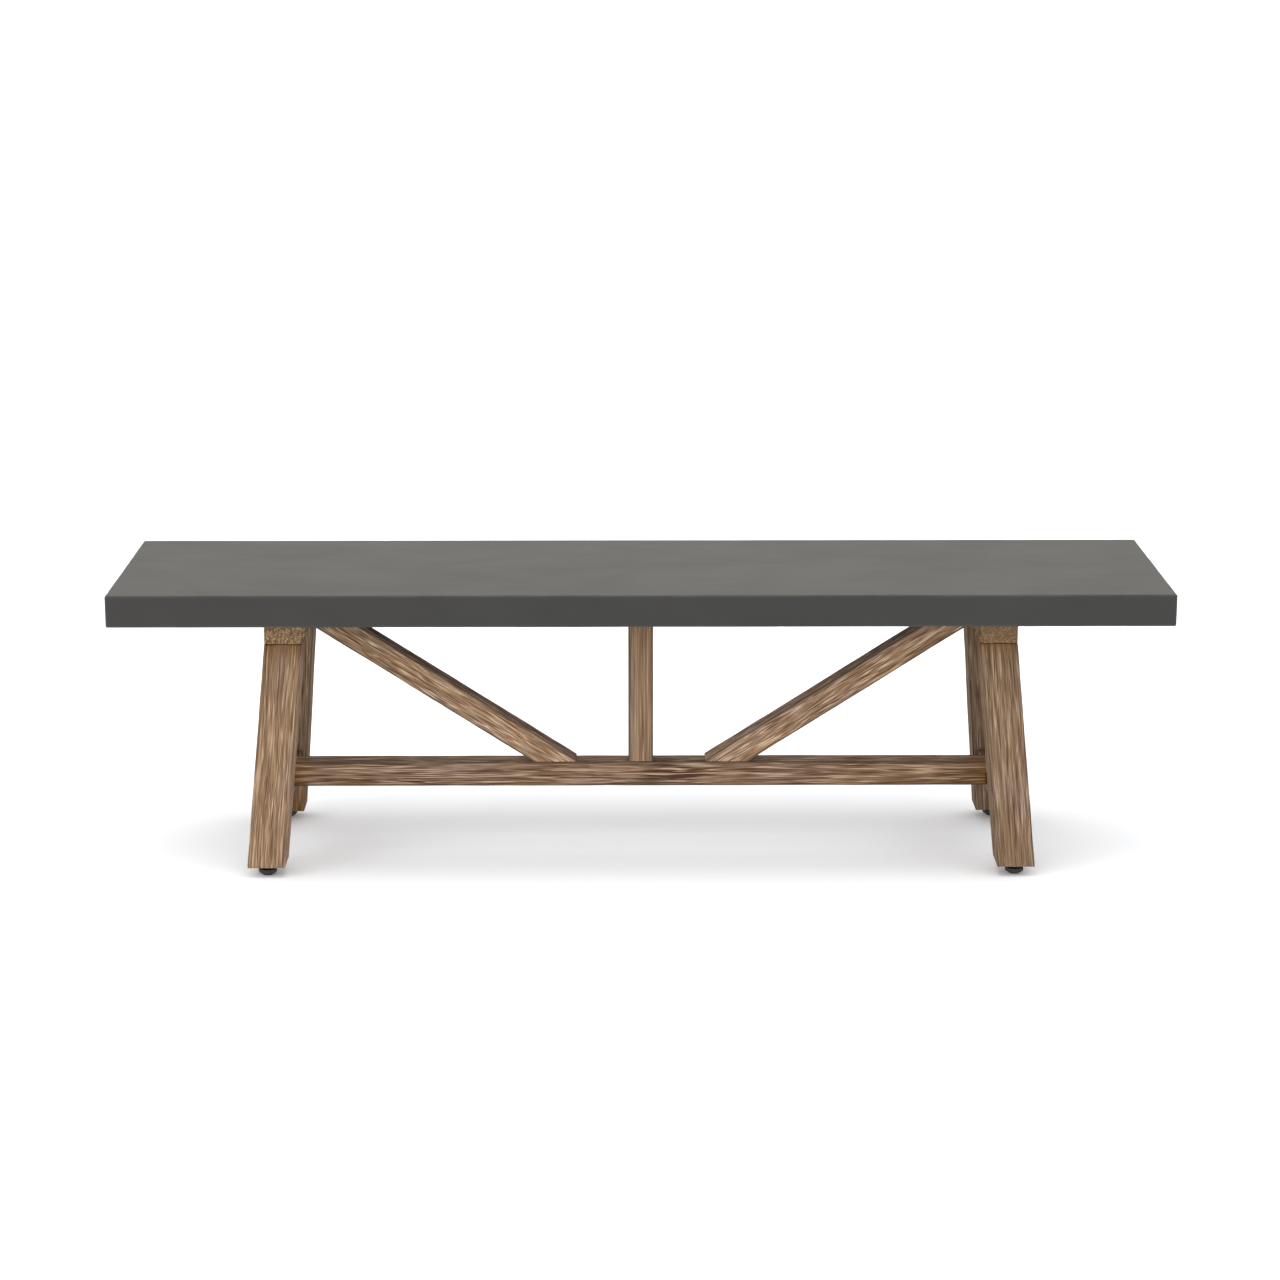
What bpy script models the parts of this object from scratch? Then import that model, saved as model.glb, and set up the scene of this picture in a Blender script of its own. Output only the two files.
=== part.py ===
"""Backless bench.

A stone-like seat slab lies on two splayed timber trestles. A low stretcher ties the trestles together and
carries a centre post and two diagonal braces. Each leg stands on a black foot on a threaded stem, which
screws in and out of the leg to level the bench.

The bench is centred on X (its length) and Y (its depth), and stands on Z = 0. All sizes are in metres.
"""

import math

import bmesh
import bpy

# Clearance between pieces that touch, and the closer running clearance of a stem in its threaded insert.
GAP = 0.0003
RUNNING_GAP = 0.0001

# Seat slab.
SEAT_LENGTH = 1.600
SEAT_DEPTH = 0.400
SEAT_THICKNESS = 0.049
SEAT_HEIGHT = 0.449
SEAT_EDGE = 0.0022

# Timber stock: square legs, and lighter square bars for everything that ties them together.
LEG = 0.058
BAR = 0.039
WOOD_EDGE = 0.0012

# Trestles.
TRESTLE_X = 0.544
TOP_RAIL_LENGTH = 0.253
TOP_RAIL_HEIGHT = 0.043
SPLAY_SIDEWAYS = math.radians(5.0)
SPLAY_FRONT_BACK = math.radians(8.6)
LOWER_RAIL_TOP = 0.125

# Stretcher, and the braces that rise from it.
STRETCHER_TOP = 0.1395
BRACE_ANGLE = math.radians(32.75)
BRACE_NOSE_X = 0.101
BRACE_NOSE_HEIGHT = 0.0032

# Levelling feet. They sit a little outwards of the middle of the leg's end, towards the front and the back.
FOOT_OFFSET = 0.004
LEG_BOTTOM = 0.0165
PAD_HEIGHT = 0.010
PAD_RADIUS = 0.0143
PAD_BASE_RADIUS = 0.0082
PAD_RIM_BOTTOM = 0.0056
PAD_EDGE = 0.0008
STEM_RADIUS = 0.0030
STEM_HEAD_RADIUS = 0.0060
STEM_HEAD_HEIGHT = 0.0030
STEM_HEAD_Z = 0.0035
STEM_HEX_HALF_WIDTH = 0.0065
STEM_HEX_TOP = 0.0160
STEM_TOP = 0.042
INSERT_RADIUS = 0.0050
INSERT_LENGTH = 0.014

# Fasteners.
SEAT_BOLT = {"shank": 0.0040, "head": 0.0065, "head_height": 0.0080, "socket": 0.0034, "length": 0.052}
LEG_SCREW = {"shank": 0.0030, "head": 0.0060, "head_height": 0.0045, "socket": 0.0025, "length": 0.090}
STRETCHER_BOLT = {"shank": 0.0030, "head": 0.0050, "head_height": 0.0050, "socket": 0.0027, "length": 0.070}
POST_SCREW = {"shank": 0.0030, "head": 0.0055, "head_height": 0.0045, "socket": 0.0025, "length": 0.070}
BRACE_FOOT_SCREW = {"shank": 0.0025, "head": 0.0050, "head_height": 0.0040, "socket": 0.0021, "length": 0.055}
BRACE_HEAD_SCREW = {"shank": 0.0025, "head": 0.0050, "head_height": 0.0040, "socket": 0.0021, "length": 0.085}
SOCKET_DEPTH_RATIO = 0.6
HEAD_SINK = 0.0010

# Where the fasteners sit.
SEAT_BOLT_Y = 0.042
SEAT_INSERT_RADIUS = 0.0070
SEAT_INSERT_LENGTH = 0.020
LEG_SCREW_OFFSET = 0.012
LEG_DOWEL_OFFSET = 0.014
LEG_DOWEL_RADIUS = 0.0050
LEG_DOWEL_REACH = 0.022
TENON_WIDTH = 0.010
TENON_HEIGHT = 0.022
TENON_REACH = 0.018
BARREL_NUT_RADIUS = 0.0050
BARREL_NUT_LENGTH = 0.016
BARREL_NUT_SETBACK = 0.028
BRACE_FOOT_SCREW_X = 0.143
BRACE_HEAD_SCREW_Z = 0.378
POST_PIN_RADIUS = 0.0040
POST_PIN_REACH = 0.018

ROUND_STEPS = 16
PAD_STEPS = 32
HEX_STEPS = 24
OVERCUT = 0.001

# Levels and positions that follow from the sizes above.
SEAT_BOTTOM = SEAT_HEIGHT - SEAT_THICKNESS
TOP_RAIL_TOP = SEAT_BOTTOM - GAP
TOP_RAIL_BOTTOM = TOP_RAIL_TOP - TOP_RAIL_HEIGHT
LEG_TOP = TOP_RAIL_BOTTOM - GAP
LEG_TOP_Y = (TOP_RAIL_LENGTH - LEG) / 2
LEAN_SIDEWAYS = math.tan(SPLAY_SIDEWAYS)
LEAN_FRONT_BACK = math.tan(SPLAY_FRONT_BACK)
FOOT_X = TRESTLE_X + LEAN_SIDEWAYS * (LEG_TOP - LEG_BOTTOM)
FOOT_Y = LEG_TOP_Y + LEAN_FRONT_BACK * (LEG_TOP - LEG_BOTTOM) + FOOT_OFFSET
LOWER_RAIL_BOTTOM = LOWER_RAIL_TOP - BAR
LOWER_RAIL_MIDDLE = LOWER_RAIL_TOP - BAR / 2
LOWER_RAIL_X = TRESTLE_X + LEAN_SIDEWAYS * (LEG_TOP - LOWER_RAIL_TOP)
STRETCHER_BOTTOM = STRETCHER_TOP - BAR
STRETCHER_END = LOWER_RAIL_X - BAR / 2 - GAP
STRETCHER_BOLT_Z = (STRETCHER_BOTTOM + LOWER_RAIL_TOP) / 2
POST_BOTTOM = STRETCHER_TOP + GAP
BRACE_END = TRESTLE_X - LEG / 2 - GAP

SIDES = {"left": -1, "right": 1}
ENDS = {"front": -1, "back": 1}

UPRIGHT = (0.0, 0.0, 0.0)
UPSIDE_DOWN = (math.pi, 0.0, 0.0)


def towards_centre(side):
    """The rotation that turns local +Z along X, from the given side towards the middle of the bench."""
    return (0.0, -side * math.pi / 2, 0.0)


def leg_inside_face_y(z):
    """How far from the middle the face that a leg turns towards the opposite leg lies, at height z."""
    return LEG_TOP_Y - LEG / 2 + LEAN_FRONT_BACK * (LEG_TOP - z)


def clear_scene():
    for obj in list(bpy.data.objects):
        bpy.data.objects.remove(obj)


# Materials.

def make_material(name, colour, roughness, metallic=0.0):
    material = bpy.data.materials.new(name)
    material.use_nodes = True
    shader = material.node_tree.nodes["Principled BSDF"]
    shader.inputs["Base Color"].default_value = (*colour, 1.0)
    shader.inputs["Roughness"].default_value = roughness
    shader.inputs["Metallic"].default_value = metallic
    material.diffuse_color = (*colour, 1.0)
    return material


def stone_material():
    return make_material("dark_stone", (0.105, 0.100, 0.095), 0.62)


def timber_material():
    return make_material("brushed_timber", (0.265, 0.175, 0.115), 0.78)


def beech_material():
    return make_material("beech", (0.52, 0.36, 0.21), 0.70)


def steel_material():
    return make_material("zinc_plated_steel", (0.48, 0.49, 0.50), 0.36, 1.0)


def brass_material():
    return make_material("brass", (0.60, 0.44, 0.18), 0.34, 1.0)


def pad_material():
    return make_material("black_plastic", (0.016, 0.016, 0.017), 0.55)


# Shapes.

def block(size_x, size_y, size_z):
    """A box centred on X and Y, standing on Z = 0."""
    shape = bmesh.new()
    bmesh.ops.create_cube(shape, size=1.0)
    bmesh.ops.translate(shape, verts=shape.verts, vec=(0.0, 0.0, 0.5))
    bmesh.ops.scale(shape, verts=shape.verts, vec=(size_x, size_y, size_z))
    return shape


def prism_along_y(outline, thickness):
    """Extrude an outline of (x, z) points along Y, centred on Y = 0."""
    shape = bmesh.new()
    near = [shape.verts.new((x, -thickness / 2, z)) for x, z in outline]
    face = shape.faces.new(near)
    extruded = bmesh.ops.extrude_face_region(shape, geom=[face])
    far = [item for item in extruded["geom"] if isinstance(item, bmesh.types.BMVert)]
    bmesh.ops.translate(shape, verts=far, vec=(0.0, thickness, 0.0))
    return shape


def ring(shape, radius, height, steps, hexagonal=False):
    """A ring of vertices. On a hexagonal ring, the radius is half of the width across the flats."""
    verts = []
    for step in range(steps):
        turn = 2 * math.pi * step / steps
        reach = radius
        if hexagonal:
            reach /= math.cos((turn + math.pi / 6) % (math.pi / 3) - math.pi / 6)
        verts.append(shape.verts.new((reach * math.cos(turn), reach * math.sin(turn), height)))
    return verts


def join_rings(shape, lower, upper):
    for step in range(len(lower)):
        following = (step + 1) % len(lower)
        shape.faces.new((lower[step], lower[following], upper[following], upper[step]))


def turned(profile, steps=ROUND_STEPS):
    """A solid turned about Z, from (radius, height) points that run from its bottom to its top."""
    shape = bmesh.new()
    rings = [ring(shape, radius, height, steps) for radius, height in profile]
    for lower, upper in zip(rings, rings[1:]):
        join_rings(shape, lower, upper)
    shape.faces.new(reversed(rings[0]))
    shape.faces.new(rings[-1])
    return shape


def sleeve(outer_radius, inner_radius, height):
    """A plain tube about Z, standing on Z = 0."""
    shape = bmesh.new()
    corners = ((outer_radius, 0.0), (outer_radius, height), (inner_radius, height), (inner_radius, 0.0))
    rings = [ring(shape, radius, level, HEX_STEPS) for radius, level in corners]
    for index, lower in enumerate(rings):
        join_rings(shape, lower, rings[(index + 1) % len(rings)])
    return shape


def tongue(width, height, length):
    """A flat tongue along Y with round top and bottom edges, centred on its middle."""
    radius = width / 2
    straight = height / 2 - radius
    outline = []
    for turn in range(0, 181, 30):
        angle = math.radians(turn)
        outline.append((radius * math.cos(angle), straight + radius * math.sin(angle)))
    for turn in range(180, 361, 30):
        angle = math.radians(turn)
        outline.append((radius * math.cos(angle), -straight + radius * math.sin(angle)))
    return prism_along_y(outline, length)


def plain_hole(radius, low, high):
    return turned(((radius, low), (radius, high)))


def fastener_hole(size):
    """The hole for a fastener: a counterbore for its head, and a bore along +Z for its shank."""
    head_radius = size["head"] + GAP
    shank_radius = size["shank"] + GAP
    return turned((
        (head_radius, -size["head_height"] - HEAD_SINK - OVERCUT),
        (head_radius, GAP),
        (shank_radius, GAP),
        (shank_radius, size["length"] + GAP),
    ))


# Objects.

def add_object(name, shape, location, material):
    """Put a shape into the scene as one named object, with its origin at the given location."""
    bmesh.ops.recalc_face_normals(shape, faces=shape.faces)
    mesh = bpy.data.meshes.new(name)
    shape.to_mesh(mesh)
    shape.free()
    if material is not None:
        mesh.materials.append(material)
    obj = bpy.data.objects.new(name, mesh)
    obj.location = location
    bpy.context.scene.collection.objects.link(obj)
    return obj


def ease_edges(obj, width):
    """Round over the edges, as on a planed or cast piece."""
    bevel = obj.modifiers.new("eased_edges", "BEVEL")
    bevel.width = width
    bevel.segments = 2
    bevel.limit_method = "ANGLE"
    bevel.angle_limit = math.radians(20)


def smooth_round(obj):
    obj.data.shade_smooth()
    obj.data.set_sharp_from_angle(angle=math.radians(35))


def cut(obj, cut_name, shape, location, rotation=UPRIGHT):
    """Cut a shape out of the object. The cutter stays in the scene as a hidden guide."""
    cutter = add_object(f"{obj.name}_cut_{cut_name}", shape, location, None)
    cutter.rotation_euler = rotation
    cutter.hide_render = True
    cutter.display_type = "WIRE"
    boolean = obj.modifiers.new(f"cut_{cut_name}", "BOOLEAN")
    boolean.operation = "DIFFERENCE"
    boolean.solver = "EXACT"
    boolean.object = cutter


def cut_fastener_hole(obj, cut_name, size, place):
    location, rotation = place
    cut(obj, cut_name, fastener_hole(size), location, rotation)


def add_fastener(name, size, place, material):
    """A bolt or screw. Its origin is under its head, and its shank runs along local +Z."""
    location, rotation = place
    shank = size["shank"]
    point = shank * 0.4
    shape = turned((
        (size["head"], -size["head_height"]),
        (size["head"], 0.0),
        (shank, 0.0),
        (shank, size["length"] - point),
        (shank - point, size["length"]),
    ))
    obj = add_object(name, shape, location, material)
    obj.rotation_euler = rotation
    smooth_round(obj)
    socket_floor = size["head_height"] * (SOCKET_DEPTH_RATIO - 1)
    socket_mouth = -size["head_height"] - OVERCUT
    socket = turned(((size["socket"], socket_mouth), (size["socket"], socket_floor)), steps=6)
    cut(obj, "socket", socket, location, rotation)


# Where each fastener goes: the point under its head, and the way it points.

def seat_bolt_place(side, end):
    under_head = TOP_RAIL_BOTTOM + SEAT_BOLT["head_height"] + HEAD_SINK
    return (side * TRESTLE_X, end * SEAT_BOLT_Y, under_head), UPRIGHT


def leg_screw_place(side, end):
    under_head = TOP_RAIL_TOP - LEG_SCREW["head_height"] - HEAD_SINK
    return (side * TRESTLE_X, end * (LEG_TOP_Y + LEG_SCREW_OFFSET), under_head), UPSIDE_DOWN


def stretcher_bolt_place(side):
    under_head = LOWER_RAIL_X + BAR / 2 - STRETCHER_BOLT["head_height"] - HEAD_SINK
    return (side * under_head, 0.0, STRETCHER_BOLT_Z), towards_centre(side)


def post_screw_place():
    under_head = STRETCHER_BOTTOM + POST_SCREW["head_height"] + HEAD_SINK
    return (0.0, 0.0, under_head), UPRIGHT


def brace_foot_screw_place(side):
    under_head = STRETCHER_BOTTOM + BRACE_FOOT_SCREW["head_height"] + HEAD_SINK
    return (side * BRACE_FOOT_SCREW_X, 0.0, under_head), UPRIGHT


def brace_head_screw_place(side):
    under_head = TRESTLE_X + LEG / 2 - BRACE_HEAD_SCREW["head_height"] - HEAD_SINK
    return (side * under_head, 0.0, BRACE_HEAD_SCREW_Z), towards_centre(side)


def leg_dowel_centre(side, end):
    return (side * TRESTLE_X, end * (LEG_TOP_Y - LEG_DOWEL_OFFSET), LEG_TOP + GAP / 2)


def tenon_centre(side, end):
    return (side * LOWER_RAIL_X, end * leg_inside_face_y(LOWER_RAIL_MIDDLE), LOWER_RAIL_MIDDLE)


def barrel_nut_centre(side):
    return (side * (STRETCHER_END - BARREL_NUT_SETBACK), 0.0, STRETCHER_BOLT_Z)


# Holes that two pieces share.

def cut_leg_dowel_hole(obj, cut_name, side, end):
    reach = LEG_DOWEL_REACH + GAP
    hole = plain_hole(LEG_DOWEL_RADIUS + GAP, -reach, reach)
    cut(obj, cut_name, hole, leg_dowel_centre(side, end))


def cut_tenon_mortise(obj, cut_name, side, end):
    mortise = tongue(TENON_WIDTH + 2 * GAP, TENON_HEIGHT + 2 * GAP, 2 * (TENON_REACH + GAP))
    cut(obj, cut_name, mortise, tenon_centre(side, end))


def cut_post_pin_hole(obj):
    reach = POST_PIN_REACH + GAP
    hole = plain_hole(POST_PIN_RADIUS + GAP, -reach, reach)
    cut(obj, "pin", hole, (0.0, 0.0, SEAT_BOTTOM))


# Pieces.

def make_seat_slab(material):
    shape = block(SEAT_LENGTH, SEAT_DEPTH, SEAT_THICKNESS)
    slab = add_object("seat_slab", shape, (0.0, 0.0, SEAT_BOTTOM), material)
    ease_edges(slab, SEAT_EDGE)
    for side_name, side in SIDES.items():
        for end_name, end in ENDS.items():
            hole = plain_hole(SEAT_INSERT_RADIUS + GAP, -OVERCUT, SEAT_INSERT_LENGTH + 2 * GAP)
            place = (side * TRESTLE_X, end * SEAT_BOLT_Y, SEAT_BOTTOM)
            cut(slab, f"insert_{end_name}_{side_name}", hole, place)
    cut_post_pin_hole(slab)


def make_top_rail(side_name, side, material):
    shape = block(LEG, TOP_RAIL_LENGTH, TOP_RAIL_HEIGHT)
    rail = add_object(f"top_rail_{side_name}", shape, (side * TRESTLE_X, 0.0, TOP_RAIL_BOTTOM), material)
    ease_edges(rail, WOOD_EDGE)
    for end_name, end in ENDS.items():
        cut_fastener_hole(rail, f"seat_bolt_{end_name}", SEAT_BOLT, seat_bolt_place(side, end))
        cut_fastener_hole(rail, f"leg_screw_{end_name}", LEG_SCREW, leg_screw_place(side, end))
        cut_leg_dowel_hole(rail, f"leg_dowel_{end_name}", side, end)
    cut_fastener_hole(rail, "brace_screw", BRACE_HEAD_SCREW, brace_head_screw_place(side))


def leg_shape(side, end):
    """A square leg that hangs from its top centre, leans outwards both ways and is cut level at both ends."""
    drop = LEG_TOP - LEG_BOTTOM
    shape = block(LEG, LEG, drop)
    bmesh.ops.translate(shape, verts=shape.verts, vec=(0.0, 0.0, -drop))
    for vert in shape.verts:
        vert.co.x -= side * LEAN_SIDEWAYS * vert.co.z
        vert.co.y -= end * LEAN_FRONT_BACK * vert.co.z
    return shape


def foot_hole():
    """The hole up into the leg's foot: wide for the threaded insert, and narrower above it for the stem."""
    insert_radius = INSERT_RADIUS + GAP
    stem_radius = STEM_RADIUS + GAP
    step = LEG_BOTTOM + INSERT_LENGTH + 2 * GAP
    return turned((
        (insert_radius, LEG_BOTTOM - OVERCUT),
        (insert_radius, step),
        (stem_radius, step),
        (stem_radius, STEM_TOP + OVERCUT),
    ))


def make_leg(side_name, side, end_name, end, material):
    location = (side * TRESTLE_X, end * LEG_TOP_Y, LEG_TOP)
    leg = add_object(f"leg_{end_name}_{side_name}", leg_shape(side, end), location, material)
    ease_edges(leg, WOOD_EDGE)
    cut_fastener_hole(leg, "screw", LEG_SCREW, leg_screw_place(side, end))
    cut_leg_dowel_hole(leg, "dowel", side, end)
    cut_tenon_mortise(leg, "tenon", side, end)
    cut(leg, "foot", foot_hole(), (side * FOOT_X, end * FOOT_Y, 0.0))


def make_lower_rail(side_name, side, material):
    """The bar between two legs of a trestle, with ends cut to the slope of the legs."""
    shape = block(BAR, 1.0, BAR)
    for vert in shape.verts:
        end = math.copysign(1.0, vert.co.y)
        vert.co.y = end * (leg_inside_face_y(LOWER_RAIL_BOTTOM + vert.co.z) - GAP)
    location = (side * LOWER_RAIL_X, 0.0, LOWER_RAIL_BOTTOM)
    rail = add_object(f"lower_rail_{side_name}", shape, location, material)
    ease_edges(rail, WOOD_EDGE)
    for end_name, end in ENDS.items():
        cut_tenon_mortise(rail, f"tenon_{end_name}", side, end)
    cut_fastener_hole(rail, "bolt", STRETCHER_BOLT, stretcher_bolt_place(side))


def make_stretcher(material):
    shape = block(2 * STRETCHER_END, BAR, BAR)
    stretcher = add_object("stretcher", shape, (0.0, 0.0, STRETCHER_BOTTOM), material)
    ease_edges(stretcher, WOOD_EDGE)
    for side_name, side in SIDES.items():
        cut_fastener_hole(stretcher, f"bolt_{side_name}", STRETCHER_BOLT, stretcher_bolt_place(side))
        reach = BARREL_NUT_LENGTH / 2 + GAP
        nut_hole = plain_hole(BARREL_NUT_RADIUS + GAP, -BAR / 2, reach)
        cut(stretcher, f"nut_{side_name}", nut_hole, barrel_nut_centre(side))
        brace_place = brace_foot_screw_place(side)
        cut_fastener_hole(stretcher, f"brace_screw_{side_name}", BRACE_FOOT_SCREW, brace_place)
    cut_fastener_hole(stretcher, "post_screw", POST_SCREW, post_screw_place())


def make_centre_post(material):
    shape = block(BAR, BAR, TOP_RAIL_TOP - POST_BOTTOM)
    post = add_object("centre_post", shape, (0.0, 0.0, POST_BOTTOM), material)
    ease_edges(post, WOOD_EDGE)
    cut_fastener_hole(post, "screw", POST_SCREW, post_screw_place())
    cut_post_pin_hole(post)


def brace_outline(side):
    """The brace seen from the front, with (x, z) points relative to the tip of its foot."""
    slope = math.tan(BRACE_ANGLE)
    upright_depth = BAR / math.cos(BRACE_ANGLE)
    foot_length = (upright_depth - BRACE_NOSE_HEIGHT) / slope
    span = BRACE_END - BRACE_NOSE_X
    rise = TOP_RAIL_TOP - POST_BOTTOM
    top_meets_slab = (rise - BRACE_NOSE_HEIGHT) / slope
    outline = (
        (0.0, 0.0),
        (foot_length, 0.0),
        (span, slope * (span - foot_length)),
        (span, rise),
        (top_meets_slab, rise),
        (0.0, BRACE_NOSE_HEIGHT),
    )
    return [(side * x, z) for x, z in outline]


def make_brace(side_name, side, material):
    shape = prism_along_y(brace_outline(side), BAR)
    brace = add_object(f"brace_{side_name}", shape, (side * BRACE_NOSE_X, 0.0, POST_BOTTOM), material)
    ease_edges(brace, WOOD_EDGE / 2)
    cut_fastener_hole(brace, "foot_screw", BRACE_FOOT_SCREW, brace_foot_screw_place(side))
    cut_fastener_hole(brace, "head_screw", BRACE_HEAD_SCREW, brace_head_screw_place(side))


def pad_shape():
    """A round pad that is widest at its rim and tapers down to a smaller flat base."""
    return turned((
        (PAD_BASE_RADIUS - PAD_EDGE, 0.0),
        (PAD_BASE_RADIUS, PAD_EDGE / 2),
        ((PAD_BASE_RADIUS + PAD_RADIUS) / 2, PAD_RIM_BOTTOM * 0.42),
        (PAD_RADIUS - PAD_EDGE / 2, PAD_RIM_BOTTOM - PAD_EDGE),
        (PAD_RADIUS, PAD_RIM_BOTTOM),
        (PAD_RADIUS, PAD_HEIGHT - PAD_EDGE),
        (PAD_RADIUS - PAD_EDGE, PAD_HEIGHT),
    ), PAD_STEPS)


def stem_shape():
    """A threaded stem with a head inside the pad and a hexagon for a spanner between the pad and the leg."""
    head_top = STEM_HEAD_Z + STEM_HEAD_HEIGHT
    hex_bottom = PAD_HEIGHT + GAP
    point = STEM_RADIUS * 0.3
    profile = (
        (STEM_HEAD_RADIUS, STEM_HEAD_Z, False),
        (STEM_HEAD_RADIUS, head_top, False),
        (STEM_RADIUS, head_top, False),
        (STEM_RADIUS, hex_bottom, False),
        (STEM_HEX_HALF_WIDTH, hex_bottom, True),
        (STEM_HEX_HALF_WIDTH, STEM_HEX_TOP, True),
        (STEM_RADIUS, STEM_HEX_TOP, False),
        (STEM_RADIUS, STEM_TOP - point, False),
        (STEM_RADIUS - point, STEM_TOP, False),
    )
    shape = bmesh.new()
    rings = [ring(shape, radius, height, HEX_STEPS, hexagonal) for radius, height, hexagonal in profile]
    for lower, upper in zip(rings, rings[1:]):
        join_rings(shape, lower, upper)
    shape.faces.new(reversed(rings[0]))
    shape.faces.new(rings[-1])
    return shape


def make_foot(label, location, pad, steel, brass):
    """One levelling foot: a pad moulded round the head of a stem, and the insert the stem screws into."""
    foot_pad = add_object(f"foot_pad_{label}", pad_shape(), location, pad)
    smooth_round(foot_pad)
    stem_seat = turned((
        (STEM_HEAD_RADIUS + GAP, STEM_HEAD_Z - GAP),
        (STEM_HEAD_RADIUS + GAP, STEM_HEAD_Z + STEM_HEAD_HEIGHT + GAP),
        (STEM_RADIUS + GAP, STEM_HEAD_Z + STEM_HEAD_HEIGHT + GAP),
        (STEM_RADIUS + GAP, PAD_HEIGHT + OVERCUT),
    ), HEX_STEPS)
    cut(foot_pad, "stem_seat", stem_seat, location)
    smooth_round(add_object(f"foot_stem_{label}", stem_shape(), location, steel))

    insert_shape = sleeve(INSERT_RADIUS, STEM_RADIUS + RUNNING_GAP, INSERT_LENGTH)
    insert_place = (location[0], location[1], LEG_BOTTOM + GAP)
    smooth_round(add_object(f"foot_insert_{label}", insert_shape, insert_place, brass))


def make_seat_fixing(label, side, end, steel, brass):
    add_fastener(f"seat_bolt_{label}", SEAT_BOLT, seat_bolt_place(side, end), steel)
    shape = sleeve(SEAT_INSERT_RADIUS, SEAT_BOLT["shank"] + GAP, SEAT_INSERT_LENGTH)
    place = (side * TRESTLE_X, end * SEAT_BOLT_Y, SEAT_BOTTOM + GAP)
    smooth_round(add_object(f"seat_insert_{label}", shape, place, brass))


def make_leg_joint(label, side, end, steel, beech):
    add_fastener(f"leg_screw_{label}", LEG_SCREW, leg_screw_place(side, end), steel)
    edge = LEG_DOWEL_RADIUS * 0.2
    dowel = turned((
        (LEG_DOWEL_RADIUS - edge, -LEG_DOWEL_REACH),
        (LEG_DOWEL_RADIUS, -LEG_DOWEL_REACH + edge),
        (LEG_DOWEL_RADIUS, LEG_DOWEL_REACH - edge),
        (LEG_DOWEL_RADIUS - edge, LEG_DOWEL_REACH),
    ))
    smooth_round(add_object(f"leg_dowel_{label}", dowel, leg_dowel_centre(side, end), beech))
    tenon = tongue(TENON_WIDTH, TENON_HEIGHT, 2 * TENON_REACH)
    add_object(f"rail_tenon_{label}", tenon, tenon_centre(side, end), beech)


def make_barrel_nut(side_name, side, material):
    shape = plain_hole(BARREL_NUT_RADIUS, -BARREL_NUT_LENGTH / 2, BARREL_NUT_LENGTH / 2)
    nut = add_object(f"barrel_nut_{side_name}", shape, barrel_nut_centre(side), material)
    smooth_round(nut)
    cut_fastener_hole(nut, "bolt", STRETCHER_BOLT, stretcher_bolt_place(side))


def make_post_pin(material):
    edge = POST_PIN_RADIUS * 0.2
    pin = turned((
        (POST_PIN_RADIUS - edge, -POST_PIN_REACH),
        (POST_PIN_RADIUS, -POST_PIN_REACH + edge),
        (POST_PIN_RADIUS, POST_PIN_REACH - edge),
        (POST_PIN_RADIUS - edge, POST_PIN_REACH),
    ))
    smooth_round(add_object("post_pin", pin, (0.0, 0.0, SEAT_BOTTOM), material))


def main():
    clear_scene()
    timber = timber_material()
    steel = steel_material()
    brass = brass_material()
    beech = beech_material()
    pad = pad_material()

    make_seat_slab(stone_material())
    make_stretcher(timber)
    make_centre_post(timber)
    add_fastener("post_screw", POST_SCREW, post_screw_place(), steel)
    make_post_pin(steel)

    for side_name, side in SIDES.items():
        make_top_rail(side_name, side, timber)
        make_lower_rail(side_name, side, timber)
        make_brace(side_name, side, timber)
        add_fastener(f"stretcher_bolt_{side_name}", STRETCHER_BOLT, stretcher_bolt_place(side), steel)
        make_barrel_nut(side_name, side, steel)
        foot_place = brace_foot_screw_place(side)
        head_place = brace_head_screw_place(side)
        add_fastener(f"brace_foot_screw_{side_name}", BRACE_FOOT_SCREW, foot_place, steel)
        add_fastener(f"brace_head_screw_{side_name}", BRACE_HEAD_SCREW, head_place, steel)
        for end_name, end in ENDS.items():
            label = f"{end_name}_{side_name}"
            make_leg(side_name, side, end_name, end, timber)
            make_leg_joint(label, side, end, steel, beech)
            make_seat_fixing(label, side, end, steel, brass)
            make_foot(label, (side * FOOT_X, end * FOOT_Y, 0.0), pad, steel, brass)


main()
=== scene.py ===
"""A backless bench: a cast-stone slab on two splayed timber trestles with screw-in feet.

A stretcher, a centre post and two diagonal braces join the trestles.

Lengths are in metres, +Z is up, the floor is z = 0, and the front of the bench faces -Y.
Every timber piece is a finely divided bar with brushed grain, trimmed by the shape of its CAD solid, so
that its cut ends, screw holes and joints stay where the model has them.
"""
import math

import bmesh
import bpy
import numpy as np
from mathutils import Matrix, Vector


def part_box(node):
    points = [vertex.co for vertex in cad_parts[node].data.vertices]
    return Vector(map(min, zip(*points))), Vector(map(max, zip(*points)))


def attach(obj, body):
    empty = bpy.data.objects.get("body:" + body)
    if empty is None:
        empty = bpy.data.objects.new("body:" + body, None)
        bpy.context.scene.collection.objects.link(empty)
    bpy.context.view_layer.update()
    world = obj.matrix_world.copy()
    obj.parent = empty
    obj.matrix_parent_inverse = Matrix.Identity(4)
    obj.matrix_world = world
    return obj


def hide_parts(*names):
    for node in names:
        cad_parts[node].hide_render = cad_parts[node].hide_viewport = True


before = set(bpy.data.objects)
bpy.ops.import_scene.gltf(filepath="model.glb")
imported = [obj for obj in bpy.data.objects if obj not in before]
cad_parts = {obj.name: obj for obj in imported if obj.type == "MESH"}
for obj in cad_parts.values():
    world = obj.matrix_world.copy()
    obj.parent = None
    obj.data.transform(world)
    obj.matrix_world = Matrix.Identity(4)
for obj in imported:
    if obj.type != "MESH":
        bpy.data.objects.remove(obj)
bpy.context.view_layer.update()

SIDES = {"left": -1, "right": 1}
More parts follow.
